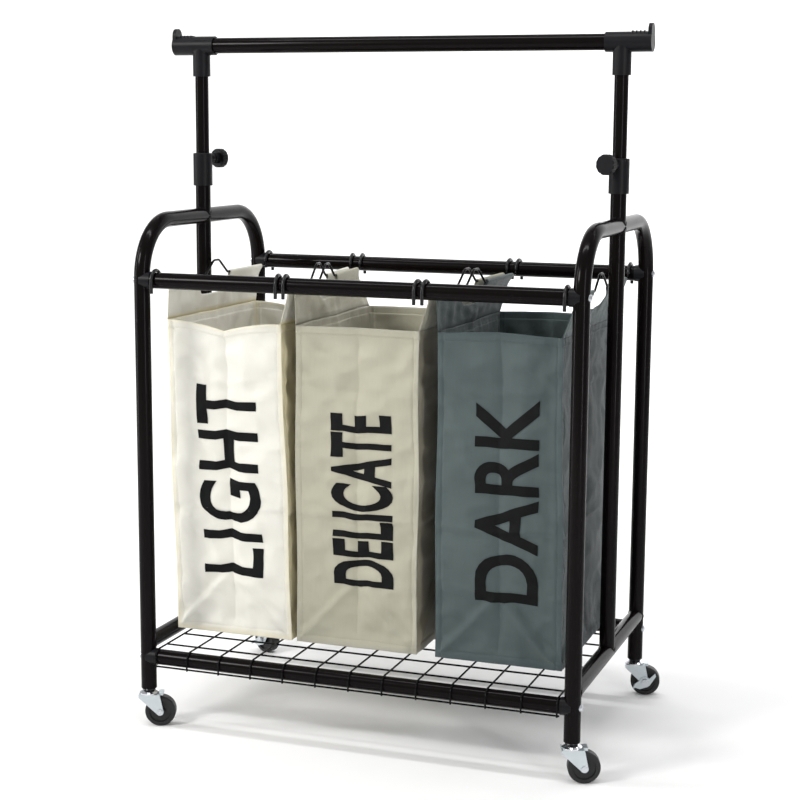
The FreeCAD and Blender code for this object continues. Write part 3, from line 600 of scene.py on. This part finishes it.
def flapGrids(shape, side, cell):
    # the side panel carried on above the rim: up to the wire, over it and down inside.
    # side is 1 for the right panel and 3 for the left
    sign = 1 if side == 1 else -1
    word = "right" if side == 1 else "left"
    (y0, x0), (y1, x1) = hangerLine(shape.name + "_bag_" + word + "_hanger")
    rise, flat = bagMake["flapRise"], 0.34     # the flap's height and its width laid flat
    wireZ = bagMake["hem"] + rise
    front, slot, back = flapColumns(shape, cell)
    grids = []
    up = [np.linspace(0, 0.014, 5), np.linspace(0.014, 0.045, 9)[1:], np.linspace(0.045, rise, 5)[1:]]
    up = np.concatenate(up) / rise
    slotTop = (bagMake["slotBottom"] + bagMake["slotCorner"] - bagMake["hem"]) / rise
    slotRows = int(np.searchsorted(up, slotTop))
    up[slotRows] = slotTop

    def flapPoints(b, t):
        # b runs front to back, t from the rim to the wire; the sheet fans out towards the wire
        share = b if side == 1 else 1 - b
        foot = shape.point(side, share, np.full(np.shape(b), shape.high))
        spread = bagMake["flapFront"] + (bagMake["flapBack"] - bagMake["flapFront"]) * b
        xWire = x0 + (x1 - x0) * (spread - y0) / (y1 - y0) + sign * bagMake["tunnelRadius"]
        top = np.stack([xWire, spread, np.full(np.shape(b), wireZ)], -1)
        place = foot + (top - foot) * t[..., None]
        edge = np.minimum(b, 1 - b)
        calm = np.sin(math.pi * np.clip(t, 0, 1)) * smooth(0, 0.06, edge)
        ripple = 0.0022 * wave(b * flat, t * rise, shape.seed + 7 * side, (0.05, 0.12), 5)
        ripple = ripple + 0.0012 * wave(b * flat, t * rise, shape.seed + 9 * side, (0.02, 0.05), 5)
        droop = 0.0030 * np.exp(-((b - 0.5) / 0.22) ** 2)
        seam = -0.0008 * np.exp(-((t * rise - 0.008) / 0.0012) ** 2)
        seam = seam + 0.0007 * smooth(0.009, 0.001, t * rise)
        place[..., 0] += sign * ((ripple - droop) * calm + seam * smooth(0, 0.02, edge))
        return place

    def overWire(b):
        # half a turn round the wire, then down inside to the stitched fold
        t = np.ones(np.shape(b))
        top = flapPoints(b, t)
        radius = bagMake["tunnelRadius"]
        rows = []
        for angle in np.linspace(0, math.pi, 9)[1:]:
            place = top.copy()
            place[..., 0] += sign * radius * (math.cos(angle) - 1)
            place[..., 2] += radius * math.sin(angle)
            rows.append(place)
        for drop in np.linspace(0, 1, 6)[1:]:
            at = 1 - drop * bagMake["foldDown"] / rise
            under = flapPoints(b, np.full(np.shape(b), at))
            away = radius * 2 * (1 - drop) ** 1.5 + 0.0013
            under[..., 0] -= sign * away
            rows.append(under)
        return rows

    for columns, whole in ((front, True), (slot, False), (back, True)):
        if whole:
            b = np.broadcast_to(columns, (len(up), len(columns)))
            t = np.broadcast_to(up[:, None], b.shape)
            place = np.stack(list(flapPoints(b, t)) + overWire(columns))
        else:
            # below the hand opening, whose two lower corners are quarter circles
            y = shape.rimBox[2] + columns * (shape.rimBox[3] - shape.rimBox[2])
            corner = bagMake["slotCorner"]
            past = np.clip(np.abs(y) - (bagMake["slotHalf"] - corner), 0, corner)
            curve = corner - np.sqrt(np.maximum(corner ** 2 - past ** 2, 0))
            topShare = (bagMake["slotBottom"] + curve - bagMake["hem"]) / rise
            steps = up[:slotRows + 1] / up[slotRows]
            t = steps[:, None] * topShare[None, :]
            place = flapPoints(np.broadcast_to(columns, t.shape), t)
        rows, count = place.shape[:2]
        across = np.broadcast_to(shape.panelWidth(0) + 0.004 + columns * 0.325, (rows, count))
        steps = np.diff(place, axis=0, prepend=place[:1])
        along = np.linalg.norm(steps, axis=-1).cumsum(0) + shape.high
        grids.append((place, np.stack([across, along], -1), side == 3))
    return grids


def bow(edge, shares):
    # how far an edge strays from the straight line between its ends
    return edge - (edge[:1] * (1 - shares[:, None]) + edge[-1:] * shares[:, None])


def bagGrids(shape, cell):
    # the four side panels, the floor and the flaps, as (points, uv, flip)
    heights = bagHeights(shape.low, shape.high, cell)
    flap = np.unique(np.concatenate(flapColumns(shape, cell)))
    faceColumns = fineEnds(shape.panelWidth(0), cell)
    grids = []
    start = 0.0
    for side in range(4):
        shares = faceColumns if side in (0, 2) else (flap if side == 1 else np.sort(1 - flap))
        a, z = np.meshgrid(shares, heights)
        place = shape.point(side, a, z)
        uv = np.stack([a * shape.panelWidth(side) + start, z], -1)
        grids.append((place, uv, False))
        start += shape.panelWidth(side)
    # the floor lies between the four foot edges, sagging a little towards its middle
    columns, rows = faceColumns, flap
    u, v = np.meshgrid(columns, rows)
    foot = np.full(columns.shape, shape.low)
    side0 = shape.point(0, columns, foot)
    side2 = shape.point(2, 1 - columns, foot)
    left = shape.point(3, 1 - rows, np.full(rows.shape, shape.low))
    right = shape.point(1, rows, np.full(rows.shape, shape.low))
    place = side0[None] * (1 - v[..., None]) + side2[None] * v[..., None]
    place = place + bow(left, rows)[:, None] * (1 - u[..., None])
    place = place + bow(right, rows)[:, None] * u[..., None]
    calm = np.sin(math.pi * u) * np.sin(math.pi * v)
    place[..., 2] -= calm * (0.0025 + 0.0010 * wave(u * 0.2, v * 0.33, shape.seed + 50, (0.05, 0.12)))
    grids.append((place, np.stack([u * 0.206, v * 0.33], -1), True))
    for side in (1, 3):
        grids += flapGrids(shape, side, cell)
    return grids


def makeBag(name):
    # the shell takes the CAD bag's place and moves with its hangers
    shape = BagShape(name)
    cell = 0.0046
    bag = joinedGrids(name + "_cloth_bag", bagGrids(shape, cell))
    smoothFaces(bag)
    thicken(bag, bagMake["cloth"])
    bag.data.materials.append(shape.look["cloth"])
    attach(bag, name + "_bag_set")
    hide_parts(name + "_bag")
    return shape, bag


# cells: how many the word is cut into along and across; proud: the ink's height above the cloth
printMake = {"cells": (96, 34), "proud": 0.0008, "curve": 6, "foldReach": 0.020}


def printWord(shape):
    # block capitals laid on the front panel, reading upwards; cut into small cells so
    # that they follow every fold of the cloth
    look = shape.look
    text = bpy.data.curves.new(look["word"], "FONT")
    text.body = look["word"]
    text.offset = look["bold"]
    text.space_character = look["gap"]
    text.resolution_u = printMake["curve"]
    holder = bpy.data.objects.new(look["word"], text)
    bpy.context.scene.collection.objects.link(holder)
    bpy.context.view_layer.update()
    shown = holder.evaluated_get(bpy.context.evaluated_depsgraph_get())
    mesh = bpy.data.meshes.new_from_object(shown)
    bpy.data.objects.remove(holder)
    work = bmesh.new()
    work.from_mesh(mesh)
    places = np.array([v.co for v in work.verts])
    low, high = places.min(0), places.max(0)
    for axis, count in enumerate(printMake["cells"]):
        for k in range(1, count):
            at = Vector((0, 0, 0))
            at[axis] = low[axis] + (high[axis] - low[axis]) * k / count
            normal = Vector((1, 0, 0)) if axis == 0 else Vector((0, 1, 0))
            everything = work.verts[:] + work.edges[:] + work.faces[:]
            bmesh.ops.bisect_plane(work, geom=everything, dist=1e-6, plane_co=at, plane_no=normal)
    bmesh.ops.triangulate(work, faces=work.faces)
    work.to_mesh(mesh)
    work.free()
    places = np.zeros(len(mesh.vertices) * 3)
    mesh.vertices.foreach_get("co", places)
    places = places.reshape(-1, 3)
    along = (places[:, 0] - low[0]) / (high[0] - low[0])
    tall = (places[:, 1] - low[1]) / (high[1] - low[1])
    left, right, bottom, top = look["print"]
    z = bottom + (top - bottom) * along
    x = right + look["lean"] * along - (right - left) * tall
    corners = shape.corners(z)
    a = (x - corners[0][0]) / (corners[1][0] - corners[0][0])
    fromFold = np.abs(a - 0.5) * shape.panelWidth(0)
    z = z + look["kink"] * np.clip(1 - fromFold / printMake["foldReach"], 0, 1)
    place = shape.point(0, a, z, printMake["proud"])
    mesh.vertices.foreach_set("co", place.astype(np.float32).ravel())
    mesh.update()
    ink = bpy.data.objects.new(shape.name + "_bag_print", mesh)
    bpy.context.scene.collection.objects.link(ink)
    smoothFaces(ink)
    ink.data.materials.clear()
    ink.data.materials.append(blackInk)
    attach(ink, shape.name + "_bag_set")
    return ink


stitch = {"pitch": 0.0040, "length": 0.0027, "lift": 0.00025, "thin": 0.00008, "fat": 0.00030}


def stitchRows(shape):
    # start and end of every stitch along the seams, on the cloth: (count, 2, 3)
    pitch, length, lift = stitch["pitch"], stitch["length"], stitch["lift"]
    runs = []
    for side in range(4):
        width = shape.panelWidth(side)
        for seam in (bagMake["seam"], width - bagMake["seam"]):
            z = np.arange(shape.low + 0.016, shape.high - 0.015, pitch)
            a = np.full(z.shape, seam / width)
            runs.append((shape.point(side, a, z, lift), shape.point(side, a, z + length, lift)))
        for height in (shape.low + bagMake["footSeam"], shape.high - bagMake["band"] + 0.0022):
            x = np.arange(0.010, width - 0.012, pitch)
            z = np.full(x.shape, height)
            end = shape.point(side, (x + length) / width, z, lift)
            runs.append((shape.point(side, x / width, z, lift), end))
    return np.concatenate([np.stack(run, 1) for run in runs])


def makeStitches(shape):
    # each stitch is a short six-sided bead of thread, fat in the middle
    ends = stitchRows(shape)
    start, end = ends[:, 0], ends[:, 1]
    way = end - start
    size = np.linalg.norm(way, axis=1, keepdims=True)
    way = way / size
    side = np.cross(way, np.array([0.3, 0.5, 0.81]))
    side /= np.linalg.norm(side, axis=1, keepdims=True)
    up = np.cross(side, way)
    along = np.array([0.0, 0.3, 0.7, 1.0])
    fat = np.array([stitch["thin"], stitch["fat"], stitch["fat"], stitch["thin"]])
    angle = np.arange(6) * math.pi / 3
    ring = np.cos(angle)[:, None, None] * side[None] + np.sin(angle)[:, None, None] * up[None]
    centre = start[None] + along[:, None, None] * (end - start)[None]
    points = centre[:, None] + fat[:, None, None, None] * ring[None]
    points = points.transpose(2, 0, 1, 3)
    count = len(start)
    r, k = [grid.ravel() for grid in np.meshgrid(np.arange(3), np.arange(6), indexing="ij")]
    turned = (k + 1) % 6
    faces = np.stack([r * 6 + k, r * 6 + turned, (r + 1) * 6 + turned, (r + 1) * 6 + k], -1)
    faces = faces[None] + (np.arange(count) * 24)[:, None, None]
    beads = meshFromArrays(shape.name + "_bag_stitching", points.reshape(-1, 3), faces.reshape(-1, 4))
    smoothFaces(beads)
    beads.data.materials.append(threadFinishes[shape.name])
    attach(beads, shape.name + "_bag_set")
    return beads


for bagName in ("light", "delicate", "dark"):
    bagShape, bagPiece = makeBag(bagName)
    printWord(bagShape)
    makeStitches(bagShape)
    print("bag made:", bagName, len(bagPiece.data.vertices), "points")


weld = {"width": 0.0017, "ripple": 0.14, "ripples": 34, "around": 120, "section": 10}


def weldBead(name, centre, small, smallRadius, big, bigRadius):
    # a thin tube welds on to a thick one: the bead runs along the curve where a cylinder of
    # smallRadius along the direction small meets one of bigRadius along the direction big
    small, big = np.array(small, float), np.array(big, float)
    third = np.cross(small, big)
    turn = 2 * math.pi
    t, u = np.meshgrid(np.linspace(0, turn, weld["around"] + 1), np.linspace(0, turn, weld["section"] + 1),
                       indexing="ij")
    out = np.cos(t)[..., None] * big + np.sin(t)[..., None] * third
    climb = np.sqrt(bigRadius ** 2 - (smallRadius * np.sin(t)) ** 2)[..., None]
    size = (weld["width"] * (1 + weld["ripple"] * np.sin(weld["ripples"] * t)))[..., None]
    place = np.array(centre) + smallRadius * out + small * climb
    place = place + size * (np.cos(u)[..., None] * out * 0.8 + np.sin(u)[..., None] * small)
    return joinedGrids(name, [(place, np.stack([t, u], -1) * 0.01, True)], 1e-6)


def makeWelds():
    # each post to its hoop and side rail, and each side rail to its two legs
    for word, sign in (("left", -1), ("right", 1)):
        low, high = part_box(word + "_hoop")
        x, y = (low.x + high.x) / 2, (low.y + high.y) / 2
        tubeRadius = (high.x - low.x) / 2
        legY = (high.y - low.y) / 2 - tubeRadius
        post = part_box(word + "_post")
        postRadius = (post[1].x - post[0].x) / 2
        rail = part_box(word + "_side_rail")
        railZ, railRadius = (rail[0].z + rail[1].z) / 2, (rail[1].z - rail[0].z) / 2
        top = high.z - tubeRadius
        beads = [
            ("_post_top_weld", (x, y, top), (0, 0, -1), postRadius, (0, 1, 0), tubeRadius),
            ("_stub_weld", (x, y, top), (0, 0, 1), postRadius, (0, 1, 0), tubeRadius),
            ("_post_foot_weld", (x, y, railZ), (0, 0, 1), postRadius, (0, 1, 0), railRadius),
            ("_rail_front_weld", (x, y - legY, railZ), (0, 1, 0), railRadius, (0, 0, 1), tubeRadius),
            ("_rail_rear_weld", (x, y + legY, railZ), (0, -1, 0), railRadius, (0, 0, 1), tubeRadius),
        ]
        for tail, *shape in beads:
            bead = weldBead(word + tail, *shape)
            smoothFaces(bead)
            bead.data.materials.append(framePaint)
            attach(bead, "frame")


makeWelds()
print("weld beads made")


view = {"azimuth": 19.85, "pitch": 9.16, "roll": 0.34, "distance": 2.849,
        "target": (-0.0013, -0.0007, 0.5278), "lens": 77.95}


def makeCamera():
    # the back vector comes from the azimuth and pitch, then the frame is rolled about it
    a, e, r = [math.radians(view[k]) for k in ("azimuth", "pitch", "roll")]
    back = Vector((math.sin(a) * math.cos(e), -math.cos(a) * math.cos(e), math.sin(e)))
    right = (-back).cross(Vector((0, 0, 1))).normalized()
    up = right.cross(-back)
    right, up = math.cos(r) * right + math.sin(r) * up, math.cos(r) * up - math.sin(r) * right
    data = bpy.data.cameras.new("camera")
    data.lens = view["lens"]
    data.sensor_width = 36.0
    data.clip_start = 0.05
    data.clip_end = 50.0
    camera = bpy.data.objects.new("camera", data)
    place = Vector(view["target"]) + back * view["distance"]
    camera.matrix_world = Matrix((
        (right.x, up.x, back.x, place.x), (right.y, up.y, back.y, place.y),
        (right.z, up.z, back.z, place.z), (0, 0, 0, 1)))
    bpy.context.scene.collection.objects.link(camera)
    bpy.context.scene.camera = camera


sweep = {"radius": 1.6, "back": 3.4, "half": 9.0, "wall": 6.0}


def makeFloor():
    # a wide pale sweep: level under the object, then a quarter circle up to a back wall
    radius, back = sweep["radius"], sweep["back"]
    turn = np.linspace(0, math.pi / 2, 25)
    run = np.concatenate([[-sweep["half"]], back + radius * np.sin(turn), [back + radius]])
    rise = np.concatenate([[0.0], radius * (1 - np.cos(turn)), [sweep["wall"]]])
    x = np.array([-sweep["half"], sweep["half"]])
    points = np.stack([np.broadcast_to(x, (len(run), 2)), np.repeat(run[:, None], 2, 1),
                       np.repeat(rise[:, None], 2, 1)], -1)
    floor = meshFromArrays("floor", points, gridFaces(len(run), 2))
    smoothFaces(floor)
    finish = Finish("paleFloor")
    speck = finish.noise(finish.place(), 3.0, 2.0)
    colour = finish.mix(speck, colourOf(0.90, 0.90, 0.90), colourOf(0.92, 0.92, 0.92))
    floor.data.materials.append(finish.set(Base_Color=colour, Roughness=0.9, Specular_IOR_Level=0.1))


def softLight(name, place, aim, size, power, colour):
    # a rectangular lamp that faces its aim
    data = bpy.data.lights.new(name, "AREA")
    data.shape = "RECTANGLE"
    data.size, data.size_y = size
    data.energy = power
    data.color = colour
    lamp = bpy.data.objects.new(name, data)
    lamp.location = place
    lamp.rotation_euler = (Vector(aim) - Vector(place)).to_track_quat("-Z", "Y").to_euler()
    bpy.context.scene.collection.objects.link(lamp)


# name: place, aim, size, watts and colour
lamps = {
    "key": ((-1.9, -2.5, 2.3), (0, 0, 0.5), (0.9, 0.9), 62.0, (1.0, 0.99, 0.97)),
    "leftStrip": ((-2.5, -0.9, 1.1), (0, 0, 0.6), (0.16, 2.4), 24.0, (1, 1, 1)),
    "rightStrip": ((2.3, -1.9, 1.2), (0, 0, 0.6), (0.16, 2.4), 22.0, (1, 1, 1)),
    "top": ((0.0, -0.5, 3.0), (0, 0, 0.5), (2.2, 0.25), 26.0, (1, 1, 1)),
    "wall": ((0.0, 1.6, 3.6), (0, 5.0, 1.2), (5.0, 1.0), 230.0, (1, 1, 1)),
}
worldStrength = 0.46


def makeLight():
    world = bpy.data.worlds.new("studio")
    world.use_nodes = True
    sky = world.node_tree.nodes["Background"]
    sky.inputs["Color"].default_value = colourOf(1.0, 1.0, 1.0)
    sky.inputs["Strength"].default_value = worldStrength
    bpy.context.scene.world = world
    for name, lamp in lamps.items():
        softLight(name, *lamp)


makeCamera()
makeFloor()
makeLight()
bpy.context.scene.view_settings.view_transform = "Standard"
print("camera, floor and light made")
